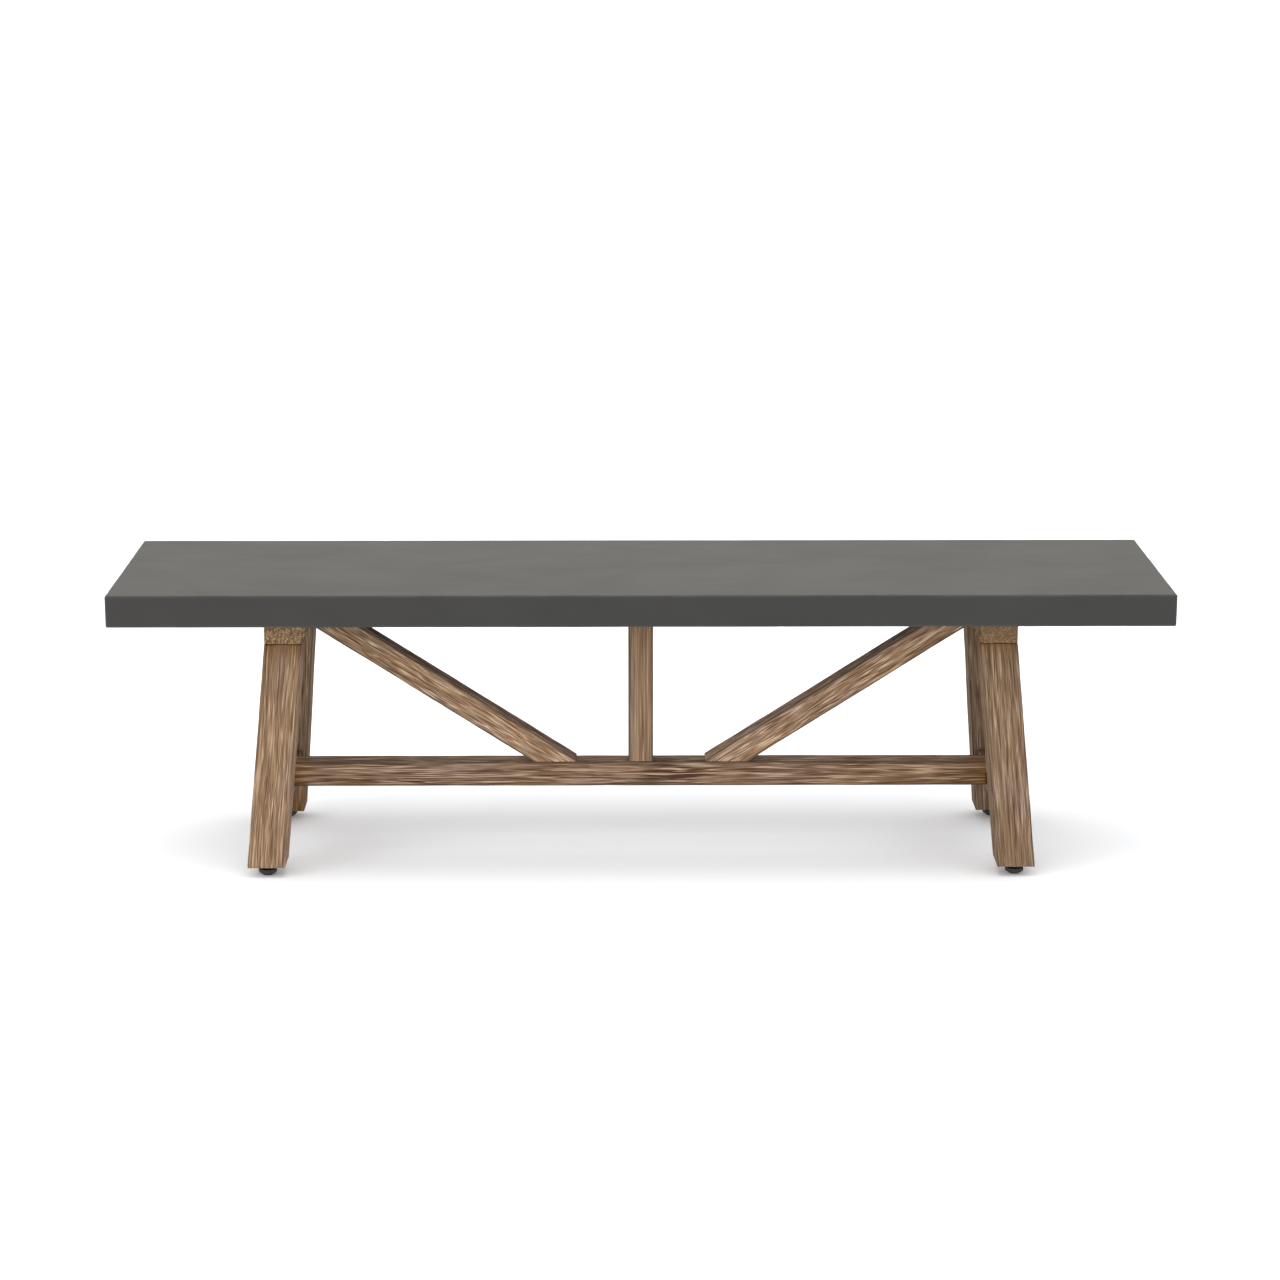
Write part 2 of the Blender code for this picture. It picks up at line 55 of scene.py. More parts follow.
ENDS = {"front": -1, "back": 1}
LABELS = [f"{end}_{side}" for side in SIDES for end in ENDS]

# Sections of the timber, the slope of the legs, and the rise and blunt tip of the braces.
LEG = 0.058
BAR = 0.039
LEAN_FRONT_BACK = math.tan(math.radians(8.6))
BRACE_ANGLE = math.radians(32.75)
BRACE_NOSE_HEIGHT = 0.0032

# How finely the brushed timber is divided.
ACROSS_STEP = 0.0010
ALONG_STEP = 0.0040

# Camera, light and floor.
CAMERA_PLACE = (-0.03096, -4.70139, 1.4873)
CAMERA_TIP_DOWN = 0.24104
CAMERA_TURN = -0.00637
CAMERA_LENS_MM = 87.234
WORLD_STRENGTH = 1.42
LAMP_SIZE = 1.4
WARM_WHITE = (1.0, 0.99, 0.96)
PLAIN_WHITE = (1.0, 1.0, 1.0)
# Name, place, what it is aimed at, watts and colour.
LAMPS = (
    ("overhead", (-0.1, 0.0, 3.2), (0.0, 0.0, 0.0), 12.0, WARM_WHITE),
    ("front", (-0.1, -0.9, 3.1), (0.0, 0.0, 0.0), 14.0, WARM_WHITE),
    ("side", (-3.2, -2.4, 1.9), (0.0, 0.0, 0.3), 14.0, PLAIN_WHITE),
)
FLOOR_REACH = 60.0

# Colours of the timber, from its deepest lines to its brightest ridges: (tone, linear colour).
TAN_WOOD = (
    (0.00, (0.070, 0.034, 0.016)),
    (0.22, (0.142, 0.080, 0.042)),
    (0.50, (0.236, 0.148, 0.086)),
    (0.76, (0.325, 0.219, 0.135)),
    (1.00, (0.490, 0.362, 0.245)),
)
PINK_WOOD = (
    (0.00, (0.068, 0.035, 0.022)),
    (0.25, (0.150, 0.091, 0.060)),
    (0.60, (0.268, 0.182, 0.131)),
    (1.00, (0.470, 0.355, 0.275)),
)
PORE = (0.068, 0.035, 0.018)
# A darker line along the long edges of the timber.
DARK_EDGE_LINE = (0.070, 0.050, 0.038)
# A darker, warmer tint towards some ends of a piece; at the back-left leg's foot it is painted shade.
END_DARKENING_TINT = (0.84, 0.70, 0.48)
# Painted shade for the braces' top faces, which lie in the slab's shadow.
PAINTED_SHADE_TINT = (0.46, 0.38, 0.39)

# How much each layer of the grain adds to the tone, and what brings its middle back to 0.5.
RIDGE_WEIGHT = 0.58
FINE_WEIGHT = 1.15
MEDIUM_WEIGHT = 0.30
BROAD_WEIGHT = 0.07
GROOVE_WEIGHT = 0.30
TONE_LEVEL = 0.185
FIGURE_DARKENING = 0.22

# Colours of the slab.
STONE_GREYS = (
    (0.0, (0.0270, 0.0270, 0.0269)),
    (0.5, (0.0288, 0.0287, 0.0285)),
    (1.0, (0.0308, 0.0306, 0.0303)),
)
STONE_LEFT_TINT = (1.05, 0.98, 1.00)
STONE_RIGHT_TINT = (0.98, 1.01, 1.00)
STONE_SEALED_TINT = (1.04, 0.96, 0.80)
STONE_PINHOLE = (0.012, 0.012, 0.012)
STONE_WORN_EDGE = (0.085, 0.083, 0.078)
STONE_SHEEN_TINT = (1.0, 0.985, 0.90, 1.0)

# Looks of the timber pieces. The keys are explained in timber_material and brushed_bar.
FIRST_SEED = 11
SEED_STEP = 10
# Brightness of each leg's timber; the back legs and the front right leg are darker as painted shade.
LEG_LIGHT = {
    "leg_front_left": 1.0,
    "leg_back_left": 0.74,
    "leg_front_right": 0.79,
    "leg_back_right": 0.66,
}
LEG_LOOKS = {"rosy": 0.28, "run": 1.7, "contrast": 0.93, "lined": 0.5}
# How far that tint reaches down from the top of each leg, and up from the foot of the back-left leg, where
# it is painted shade.
LEG_HEAD_DARKENING = 0.024
LEG_FOOT_PAINTED_SHADE = {"leg_back_left": 0.10}
TOP_RAIL_LOOKS = {
    "left": {"light": 0.95, "contrast": 1.6},
    "right": {"light": 0.85, "contrast": 0.9},
}
TOP_RAIL_HUE = (1.0, 0.98, 0.84)
LOWER_RAIL_LOOKS = {"light": 0.66, "rosy": 0.6, "run": 1.5}
# The braces' top faces get painted shade from the slab above: the left one fully, the right one about a
# third as much.
BRACE_LOOKS = {
    "left": {"light": 1.26, "painted_shade_strength": 1.0},
    "right": {"light": 1.29, "painted_shade_strength": 0.35},
}
STRETCHER_LOOKS = {
    "light": 0.92,
    "run": 1.9,
    "contrast": 1.3,
    "stained": (0.03, 0.03),
    "figured": ((0.042, 0.046, 1.35), (-0.36, 0.08, 0.35)),
    "hue": (1.0, 0.97, 0.96),
    "lined": 0.9,
}
POST_LOOKS = {"light": 1.04, "rosy": 0.1, "run": 3.0, "contrast": 0.7, "lined": 1.0}

# The foot pad: (height, radius) up its outside to below the rim, then from the rim down into its dish.
PAD_STEPS = 96
PAD_RIM = 0.0143
PAD_RIB_COUNT = 24
PAD_RIB_DEPTH = 0.00022
PAD_SKIRT_LEVELS = (
    (0.0005, 0.0030),
    (0.0005, 0.0052),
    (0.0000, 0.0057),
    (0.0000, 0.0074),
    (0.0002, 0.0080),
    (0.0006, 0.0082),
    (0.0014, 0.0090),
    (0.0024, 0.0108),
    (0.0038, 0.0129),
    (0.0049, 0.0139),
    (0.0056, 0.0142),
)
PAD_RIM_HEIGHTS = (0.0060, 0.0068, 0.0082, 0.0088)
PAD_TOP_LEVELS = (
    (0.0093, 0.0142),
    (0.0098, 0.0138),
    (0.0100, 0.0131),
    (0.0100, 0.0092),
    (0.0096, 0.0087),
    (0.0096, 0.0072),
    (0.0100, 0.0067),
    (0.0100, 0.0036),
    (0.0098, 0.0033),
    (0.0071, 0.0033),
    (0.0071, 0.0063),
    (0.0032, 0.0063),
)

# The foot stem: the head held in the pad, the hexagon above it, and the thread.
STEM_STEPS = 48
STEM_SHANK = 0.0030
STEM_HEXAGON = 0.0065
STEM_HEXAGON_CORNER = 0.0070
STEM_HEAD_LEVELS = (
    (0.0035, 0.0055),
    (0.0038, 0.0060),
    (0.0062, 0.0060),
    (0.0065, 0.0057),
    (0.0065, STEM_SHANK),
    (0.0103, STEM_SHANK),
)
STEM_THREAD = (0.0162, 0.0412)
STEM_THREAD_DEPTH = 0.00045
THREAD_PITCH = 0.0010

# The screws: shank radius, head radius, head height and half the width of the hexagon socket.
SEAT_BOLT = (0.0040, 0.0065, 0.0080, 0.0034)
POST_SCREW = (0.0030, 0.0055, 0.0045, 0.0025)
STRETCHER_BOLT = (0.0030, 0.0050, 0.0050, 0.0027)
BRACE_SCREW = (0.0025, 0.0050, 0.0040, 0.0021)
SCREW_STEPS = 48


# Camera, light and floor.

def make_camera():
    data = bpy.data.cameras.new("camera")
    data.sensor_width = 36.0
    data.lens = CAMERA_LENS_MM
    data.clip_start = 0.05
    data.clip_end = 100.0
    camera = bpy.data.objects.new("camera", data)
    camera.location = CAMERA_PLACE
    camera.rotation_euler = (math.pi / 2 - CAMERA_TIP_DOWN, 0.0, CAMERA_TURN)
    bpy.context.scene.collection.objects.link(camera)
    bpy.context.scene.camera = camera


def make_lamp(name, place, target, watts, colour):
    data = bpy.data.lights.new(name, "AREA")
    data.shape = "DISK"
    data.size = LAMP_SIZE
    data.energy = watts
    data.color = colour
    lamp = bpy.data.objects.new(name, data)
    lamp.location = place
    direction = Vector(target) - Vector(place)
    lamp.rotation_euler = direction.to_track_quat("-Z", "Y").to_euler()
    bpy.context.scene.collection.objects.link(lamp)


def make_studio():
    scene = bpy.context.scene
    scene.view_settings.view_transform = "Standard"
    scene.view_settings.look = "None"
    world = bpy.data.worlds.new("studio")
    world.use_nodes = True
    background = world.node_tree.nodes["Background"]
    background.inputs["Color"].default_value = (1.0, 1.0, 1.0, 1.0)
    background.inputs["Strength"].default_value = WORLD_STRENGTH
    scene.world = world
    for lamp in LAMPS:
        make_lamp(*lamp)


def make_floor():
    shape = bmesh.new()
    bmesh.ops.create_grid(shape, x_segments=8, y_segments=8, size=FLOOR_REACH)
    mesh = bpy.data.meshes.new("floor")
    shape.to_mesh(mesh)
    shape.free()
    floor = bpy.data.objects.new("floor", mesh)
    bpy.context.scene.collection.objects.link(floor)
    made = Nodes("pale_floor")
    speckle = made.noise(made.object_coordinates(), scale=900.0, detail=2.0)
    shade = made.ramp(speckle, ((0.0, (0.915, 0.925, 0.940)), (1.0, (0.945, 0.955, 0.970))))
    made.surface(colour=shade, roughness=0.9, specular=0.0)
    mesh.materials.append(made.material)


# Materials.

class Nodes:
    """A node material under construction, with one short method for each kind of node it uses."""

    def __init__(self, name):
        self.material = bpy.data.materials.new(name)
        self.material.use_nodes = True
        self.tree = self.material.node_tree
        self.shader = self.tree.nodes["Principled BSDF"]

    def node(self, kind, **settings):
        made = self.tree.nodes.new(kind)
        for key, value in settings.items():
            setattr(made, key, value)
        return made

    def plug(self, value, socket):
        """Link an output to a socket, or set the socket to a plain value."""
        if isinstance(value, bpy.types.NodeSocket):
            self.tree.links.new(value, socket)
        else:
            socket.default_value = value

    def object_coordinates(self):
        return self.node("ShaderNodeTexCoord").outputs["Object"]

    def attribute(self, name):
        return self.node("ShaderNodeAttribute", attribute_name=name).outputs["Fac"]

    def mapping(self, vector, location=(0, 0, 0), scale=(1, 1, 1)):
        made = self.node("ShaderNodeMapping")
        self.plug(vector, made.inputs["Vector"])
        made.inputs["Location"].default_value = location
        made.inputs["Scale"].default_value = scale
        return made.outputs["Vector"]

    def noise(self, vector, scale, detail=2.0, roughness=0.5, distortion=0.0):
        made = self.node("ShaderNodeTexNoise")
        self.plug(vector, made.inputs["Vector"])
        made.inputs["Scale"].default_value = scale
        made.inputs["Detail"].default_value = detail
        made.inputs["Roughness"].default_value = roughness
        made.inputs["Distortion"].default_value = distortion
        return made.outputs["Fac"]

    def cells(self, vector, scale, randomness=1.0):
        made = self.node("ShaderNodeTexVoronoi")
        self.plug(vector, made.inputs["Vector"])
        made.inputs["Scale"].default_value = scale
        made.inputs["Randomness"].default_value = randomness
        return made.outputs["Distance"]

    def ramp(self, value, stops):
        made = self.node("ShaderNodeValToRGB")
        self.plug(value, made.inputs["Fac"])
        elements = made.color_ramp.elements
        while len(elements) < len(stops):
            elements.new(0.5)
        for element, (position, colour) in zip(elements, stops):
            element.position = position
            element.color = (*colour, 1.0)
        return made.outputs["Color"]

    def remap(self, value, low, high, to_low=0.0, to_high=1.0):
        made = self.node("ShaderNodeMapRange", clamp=True)
        self.plug(value, made.inputs["Value"])
        made.inputs["From Min"].default_value = low
        made.inputs["From Max"].default_value = high
        made.inputs["To Min"].default_value = to_low
        made.inputs["To Max"].default_value = to_high
        return made.outputs["Result"]

    def math(self, operation, first, second=0.0):
        made = self.node("ShaderNodeMath", operation=operation)
        self.plug(first, made.inputs[0])
        self.plug(second, made.inputs[1])
        return made.outputs["Value"]

    def mix(self, factor, first, second, blend="MIX"):
        made = self.node("ShaderNodeMix", data_type="RGBA", blend_type=blend)
        self.plug(factor, made.inputs["Factor"])
        for value, socket in ((first, made.inputs[6]), (second, made.inputs[7])):
            self.plug((*value, 1.0) if isinstance(value, tuple) else value, socket)
        return made.outputs[2]

    def bump(self, height, distance, strength=1.0):
        made = self.node("ShaderNodeBump")
        self.plug(height, made.inputs["Height"])
        made.inputs["Distance"].default_value = distance
        made.inputs["Strength"].default_value = strength
        return made.outputs["Normal"]

    def surface(self, colour, roughness, specular=0.5, metallic=0.0, normal=None):
        self.plug(colour, self.shader.inputs["Base Color"])
        self.plug(roughness, self.shader.inputs["Roughness"])
        self.shader.inputs["Specular IOR Level"].default_value = specular
        self.shader.inputs["Metallic"].default_value = metallic
        if normal is not None:
            self.plug(normal, self.shader.inputs["Normal"])


def timber_material(name, offset, light=1.0, rosy=0.45, run=1.0, contrast=1.0, hue=(1.0, 1.0, 1.0),
                    lined=0.8):
    """Brushed hardwood with its grain along the piece's own Z.

    offset moves the pattern, so that no two pieces match. light scales the brightness, rosy is the share
    of pinkish grey patches, run stretches the streaks along the grain, contrast deepens them, hue tints
    the whole piece and lined is how dark its long edges are.
    """
    made = Nodes(name)
    place = made.mapping(made.object_coordinates(), location=offset)
    wavy = made.noise(made.mapping(place, scale=(1, 1, 0.4 / run)), 22.0, detail=1.0)
    sway = made.node("ShaderNodeCombineXYZ")
    made.plug(made.math("MULTIPLY", wavy, 0.010), sway.inputs["X"])
    made.plug(made.math("MULTIPLY", wavy, -0.008), sway.inputs["Y"])
    shifted = made.node("ShaderNodeVectorMath", operation="ADD")
    made.plug(place, shifted.inputs[0])
    made.plug(sway.outputs["Vector"], shifted.inputs[1])
    flow = shifted.outputs["Vector"]

    def along_grain(squeeze, location=(0, 0, 0)):
        return made.mapping(flow, location=location, scale=(1, 1, squeeze / run))

    fine = made.noise(along_grain(0.045), 860.0, detail=1.0)
    medium = made.noise(along_grain(0.050), 560.0, detail=0.0)
    broad = made.noise(along_grain(0.055), 110.0, detail=2.0, roughness=0.5)
    strand = made.noise(along_grain(0.042), 430.0, detail=0.0)
    gate = made.noise(along_grain(0.10, location=(4, 2, 1)), 270.0, detail=0.0)
    pores = made.cells(along_grain(0.040), 640.0)
    patches = made.noise(made.mapping(place, scale=(1, 1, 0.30 / run)), 26.0, detail=2.0, roughness=0.5)
    groove = made.attribute("groove")
    edge = made.attribute("edge")
    stain = made.attribute("stain")
    painted_top_shade = made.attribute("painted_top_shade")
    figure = made.attribute("figure")

    def weighted(value, weight):
        return made.math("MULTIPLY", made.math("SUBTRACT", value, 0.5), weight)

    off_middle = made.math("ABSOLUTE", made.math("SUBTRACT", strand, 0.5))
    ridge = made.remap(off_middle, 0.0, 0.15, 1.0, 0.0)
    ridge = made.math("MULTIPLY", ridge, made.remap(gate, 0.36, 0.58, 0.40, 1.0))
    lines = made.math("ADD", made.math("MULTIPLY", ridge, RIDGE_WEIGHT), weighted(fine, FINE_WEIGHT))
    tone = made.math("ADD", lines, weighted(medium, MEDIUM_WEIGHT))
    tone = made.math("ADD", tone, weighted(broad, BROAD_WEIGHT))
    tone = made.math("SUBTRACT", tone, weighted(groove, GROOVE_WEIGHT))
    tone = made.math("SUBTRACT", tone, TONE_LEVEL)
    depth = made.math("MULTIPLY", made.math("ADD", figure, 1.0), contrast)
    tone = made.math("MULTIPLY", tone, depth)
    tone = made.math("SUBTRACT", tone, made.math("MULTIPLY", figure, FIGURE_DARKENING))
    tone = made.remap(made.math("ADD", tone, 0.50), 0.0, 1.0)

    def shade(colour):
        return tuple(light * tint * part for tint, part in zip(hue, colour))

    def shaded(stops):
        return [(position, shade(colour)) for position, colour in stops]

    first_pink = 0.34 + 0.22 * (1.0 - rosy)
    pinkness = made.remap(patches, first_pink, first_pink + 0.24)
    colour = made.mix(pinkness, made.ramp(tone, shaded(TAN_WOOD)), made.ramp(tone, shaded(PINK_WOOD)))
    pore_mask = made.remap(pores, 0.08, 0.24, 0.40, 0.0)
    colour = made.mix(pore_mask, colour, shade(PORE))
    # Darker, warmer tint towards some ends; painted shade at the back-left leg's foot.
    colour = made.mix(stain, colour, END_DARKENING_TINT, blend="MULTIPLY")
    # Painted shade on the braces' top faces.
    colour = made.mix(painted_top_shade, colour, PAINTED_SHADE_TINT, blend="MULTIPLY")
    # A darker line along the long edges.
    edge_line = made.math("MULTIPLY", edge, made.remap(broad, 0.35, 0.65, 0.55 * lined, lined))
    colour = made.mix(edge_line, colour, shade(DARK_EDGE_LINE))

    height = made.math("SUBTRACT", lines, made.math("MULTIPLY", pore_mask, 0.35))
    rough = made.remap(tone, 0.0, 1.0, 0.88, 0.70)
    made.surface(colour, rough, specular=0.12, normal=made.bump(height, 0.0006, 0.8))
    return made.material


def stone_material():
    """Smooth cast grey stone: clouds, fine sand, pinholes, pale worn edges and a warm sealed top."""
    made = Nodes("cast_stone")
    place = made.object_coordinates()
    clouds = made.noise(made.mapping(place, scale=(1, 1.6, 1)), 5.0, detail=3.0, roughness=0.55)
    stretched = made.mapping(place, scale=(0.6, 1.3, 1))
    smudges = made.noise(stretched, 17.0, detail=2.0, roughness=0.5, distortion=0.6)
    sand = made.noise(place, 1300.0, detail=2.0, roughness=0.6)
    hue = made.noise(made.mapping(place, location=(3.1, 1.7, 0.4)), 2.2, detail=1.0)
    pinholes = made.cells(place, 95.0)
    pinhole_size = made.noise(place, 60.0, detail=0.0)
    edge = made.attribute("edge")

    tone = made.math("ADD", made.math("MULTIPLY", clouds, 0.55), made.math("MULTIPLY", smudges, 0.45))
    grey = made.ramp(made.remap(tone, 0.36, 0.64), STONE_GREYS)
    lengthwise = made.node("ShaderNodeSeparateXYZ")
    made.plug(place, lengthwise.inputs["Vector"])
    drift = made.math("ADD", lengthwise.outputs["X"], made.math("MULTIPLY", hue, 0.9))
    tint = made.mix(made.remap(drift, -0.30, 0.75), STONE_LEFT_TINT, STONE_RIGHT_TINT)
    colour = made.mix(1.0, grey, tint, blend="MULTIPLY")
    colour = made.mix(made.attribute("sealed"), colour, STONE_SEALED_TINT, blend="MULTIPLY")
    sanded = made.remap(sand, 0.30, 0.70, 0.88, 1.12)
    grain = made.node("ShaderNodeCombineColor")
    for channel in ("Red", "Green", "Blue"):
        made.plug(sanded, grain.inputs[channel])
    colour = made.mix(1.0, colour, grain.outputs["Color"], blend="MULTIPLY")
    pits = made.remap(pinholes, 0.05, 0.09, 1.0, 0.0)
    holes = made.math("MULTIPLY", pits, made.remap(pinhole_size, 0.60, 0.66))
    colour = made.mix(holes, colour, STONE_PINHOLE)
    edge_line = made.math("MULTIPLY", edge, made.remap(smudges, 0.35, 0.65, 0.15, 0.55))
    colour = made.mix(edge_line, colour, STONE_WORN_EDGE)

    height = made.math("SUBTRACT", made.math("MULTIPLY", sand, 0.25), holes)
    rough = made.remap(tone, 0.36, 0.64, 0.54, 0.51)
    made.surface(colour, rough, specular=0.27, normal=made.bump(height, 0.0004, 0.6))
    made.shader.inputs["Specular Tint"].default_value = STONE_SHEEN_TINT
    return made.material


def metal_material(name, dark, pale, brush_scale, roughness):
    """Brushed metal, with its marks across the piece's Z, and a few duller spots."""
    made = Nodes(name)
    place = made.object_coordinates()
    marks = made.noise(made.mapping(place, scale=(1, 1, 9)), brush_scale, detail=3.0, roughness=0.6)
    spots = made.noise(place, 700.0, detail=2.0)
    colour = made.ramp(made.remap(marks, 0.35, 0.65), ((0.0, dark), (1.0, pale)))
    dull = made.remap(spots, 0.55, 0.70, 0.0, 0.5)
    colour = made.mix(dull, colour, dark)
    rough = made.remap(marks, 0.35, 0.65, roughness + 0.10, roughness - 0.08)
    made.surface(colour, rough, metallic=1.0, normal=made.bump(marks, 0.00005, 0.5))
    return made.material


def plastic_material():
    """Moulded black plastic with a fine spark-eroded skin and scuffed edges."""
    made = Nodes("moulded_plastic")
    place = made.object_coordinates()
    skin = made.noise(place, 3200.0, detail=2.0, roughness=0.6)
    scuffs = made.noise(made.mapping(place, scale=(1, 1, 2.5)), 240.0, detail=3.0)
    blacks = ((0.0, (0.012, 0.012, 0.013)), (1.0, (0.050, 0.049, 0.047)))
    colour = made.ramp(made.remap(scuffs, 0.45, 0.75), blacks)
    rough = made.remap(skin, 0.3, 0.7, 0.50, 0.68)
    made.surface(colour, rough, specular=0.45, normal=made.bump(skin, 0.00008, 0.6))
    return made.material


def beech_material():
    """Plain pale beech with short dark flecks along Z, for dowels and tenons."""
    made = Nodes("beech")
    place = made.object_coordinates()
    grain = made.noise(made.mapping(place, scale=(1, 0.08, 0.3)), 900.0, detail=3.0)
    flecks = made.cells(made.mapping(place, scale=(1, 0.12, 0.4)), 800.0)
    browns = ((0.0, (0.42, 0.25, 0.13)), (1.0, (0.62, 0.42, 0.25)))
    colour = made.ramp(made.remap(grain, 0.35, 0.65), browns)
    colour = made.mix(made.remap(flecks, 0.08, 0.20, 0.6, 0.0), colour, (0.20, 0.10, 0.05))
    rough = made.remap(grain, 0.3, 0.7, 0.65, 0.5)
    made.surface(colour, rough, specular=0.35, normal=made.bump(grain, 0.0002, 0.5))
    return made.material


# Solid noise, so that grooves run on round a piece's corners and out through its ends.

class SolidNoise:
    """Smooth value noise in three dimensions, from a seeded table."""

    def __init__(self, seed):
        generator = np.random.default_rng(seed)
        self.order = generator.permutation(256)
        self.values = generator.uniform(-1.0, 1.0, 256)

    def corner(self, cell):
        index = self.order[cell[:, 0] & 255]
        index = self.order[(index + cell[:, 1]) & 255]
        return self.values[(index + cell[:, 2]) & 255]

    def at(self, points):
        cell = np.floor(points).astype(int)
        part = points - cell
        part = part * part * (3.0 - 2.0 * part)
        total = np.zeros(len(points))
        for dx in (0, 1):
            for dy in (0, 1):
                for dz in (0, 1):
                    weight = np.ones(len(points))
                    for axis, step in enumerate((dx, dy, dz)):
                        weight = weight * (part[:, axis] if step else 1.0 - part[:, axis])
                    total += weight * self.corner(cell + np.array((dx, dy, dz)))
        return total


# Meshes.

def even_steps(length, spacing):
    """Positions from -1 to 1 along a length, about spacing apart."""
    count = max(2, round(length / spacing))
    return np.linspace(-1.0, 1.0, count + 1)


def edge_steps(length, spacing, fine_spacing, fine_band):
    """Positions from -1 to 1 that are closer together in a band at either end."""
    middle = np.arange(round((length - 2 * fine_band) / spacing) + 1.0)
    middle = middle / middle[-1] * (length - 2 * fine_band) + fine_band
    band = np.arange(0.0, fine_band - fine_spacing / 2, fine_spacing)
    places = np.concatenate((band, middle, length - band[::-1]))
    return places / length * 2.0 - 1.0


def block_skin(steps):
    """The skin of a block from -1 to 1 each way: its points, and quads that face outwards."""
    counts = [len(s) for s in steps]
    quads = []
    for axis in range(3):
        first, second = (axis + 1) % 3, (axis + 2) % 3
        a, b = np.meshgrid(np.arange(counts[first] - 1), np.arange(counts[second] - 1), indexing="ij")
        for at_end in (False, True):
            corners = []
            for step_a, step_b in ((0, 0), (1, 0), (1, 1), (0, 1)):
                index = [None, None, None]
                index[axis] = np.full(a.size, counts[axis] - 1 if at_end else 0)
                index[first] = (a + step_a).ravel()
                index[second] = (b + step_b).ravel()
                corners.append((index[0] * counts[1] + index[1]) * counts[2] + index[2])
            quads.append(np.stack(corners if at_end else corners[::-1], axis=1))
    quads = np.concatenate(quads)
    used, quads = np.unique(quads, return_inverse=True)
    quads = quads.reshape(-1, 4)
    k = used % counts[2]
    j = used // counts[2] % counts[1]
    i = used // (counts[1] * counts[2])
    points = np.stack((steps[0][i], steps[1][j], steps[2][k]), axis=1)
    return points, quads


def place_in_corners(points, corners):
    """Map points from a block of -1 to 1 into eight corners, ordered with x slowest and z fastest."""
    placed = np.zeros((len(points), 3))
    for number, corner in enumerate(corners):
        signs = np.array((number >> 2 & 1, number >> 1 & 1, number & 1)) * 2 - 1
        weight = np.prod((1.0 + signs * points) / 2.0, axis=1)
        placed += weight[:, None] * np.array(corner)
    return placed


def mesh_object(name, points, faces):
    mesh = bpy.data.meshes.new(name)
    mesh.from_pydata(points.tolist(), [], faces.tolist())
    mesh.update()
    obj = bpy.data.objects.new(name, mesh)
    bpy.context.scene.collection.objects.link(obj)
    return obj


def welded_copy(node):
    """A closed copy of a CAD node's mesh, to trim a piece by."""
    shape = bmesh.new()
    shape.from_mesh(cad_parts[node].data)
    bmesh.ops.remove_doubles(shape, verts=shape.verts, dist=1e-6)
    mesh = bpy.data.meshes.new("trim")
    shape.to_mesh(mesh)
    shape.free()
    trim = bpy.data.objects.new("trim", mesh)
    bpy.context.scene.collection.objects.link(trim)
    return trim


def trim_by_node(obj, node):
    """Keep only what of the object lies inside the CAD node."""
    trim = welded_copy(node)
    modifier = obj.modifiers.new("trim", "BOOLEAN")
    modifier.operation = "INTERSECT"
    modifier.solver = "MANIFOLD"
    modifier.object = trim
    graph = bpy.context.evaluated_depsgraph_get()
    trimmed = bpy.data.meshes.new_from_object(obj.evaluated_get(graph))
    obj.modifiers.clear()
    obj.data = trimmed
    trim_mesh = trim.data
    bpy.data.objects.remove(trim)
    bpy.data.meshes.remove(trim_mesh)


def mesh_points(mesh):
    values = np.empty(len(mesh.vertices) * 3)
    mesh.vertices.foreach_get("co", values)
    return values.reshape(-1, 3)


def set_point_values(mesh, name, values):
    attribute = mesh.attributes.new(name, "FLOAT", "POINT")
    attribute.data.foreach_set("value", values.astype(np.float32))


def finish_mesh(obj, sharp_degrees=38.0):
    obj.data.shade_smooth()
    obj.data.set_sharp_from_angle(angle=math.radians(sharp_degrees))


class Grain:
    """Where the grooves of one bar lie, in metres along the bar's own axes, with the grain along z."""

    def __init__(self, seed, run=1.0):
        self.noise = SolidNoise(seed)
        self.stretch = np.array((1.0, 1.0, 1.0 / run))

    def grooves(self, points):
        """0 on the hard ridges, up to 1 in the brushed-out grooves."""
        slow = self.noise.at(points * self.stretch * np.array((30.0, 30.0, 11.0)))
        slower = self.noise.at(points * self.stretch * np.array((70.0, 70.0, 24.0)) + 17.0)
        flow = points * self.stretch
        flow[:, 0] += 0.0050 * slow + 0.0010 * slower
        flow[:, 1] += 0.0035 * slow - 0.0010 * slower
        ridges = 1.0 - np.abs(self.noise.at(flow * np.array((340.0, 340.0, 15.0)) + 5.0)) / 0.38
        valleys = 1.0 - np.abs(self.noise.at(flow * np.array((360.0, 360.0, 13.0)) + 11.0)) / 0.28
        return np.clip(0.5 - 0.5 * np.maximum(ridges, 0.0) + 0.5 * np.maximum(valleys, 0.0), 0.0, 1.0)


def bar_half_sizes(corners):
    """Half the width, depth and length of a bar. Its corners are ordered with x slowest and z fastest."""
    sizes = [
        np.linalg.norm(corners[number ^ bit] - corners[number], axis=0)
        for bit, number in ((4, 0), (2, 0), (1, 0))
    ]
    return np.array(sizes) / 2


def bar_axes(corners):
    """The bar's own x, y and z axes as the rows of a matrix."""
    along = (corners[1::2] - corners[0::2]).mean(axis=0)
    across = corners[4] - corners[0]
    z_axis = Vector(along).normalized()
    y_axis = z_axis.cross(Vector(across)).normalized()
    x_axis = y_axis.cross(z_axis)
    return np.array((x_axis, y_axis, z_axis))


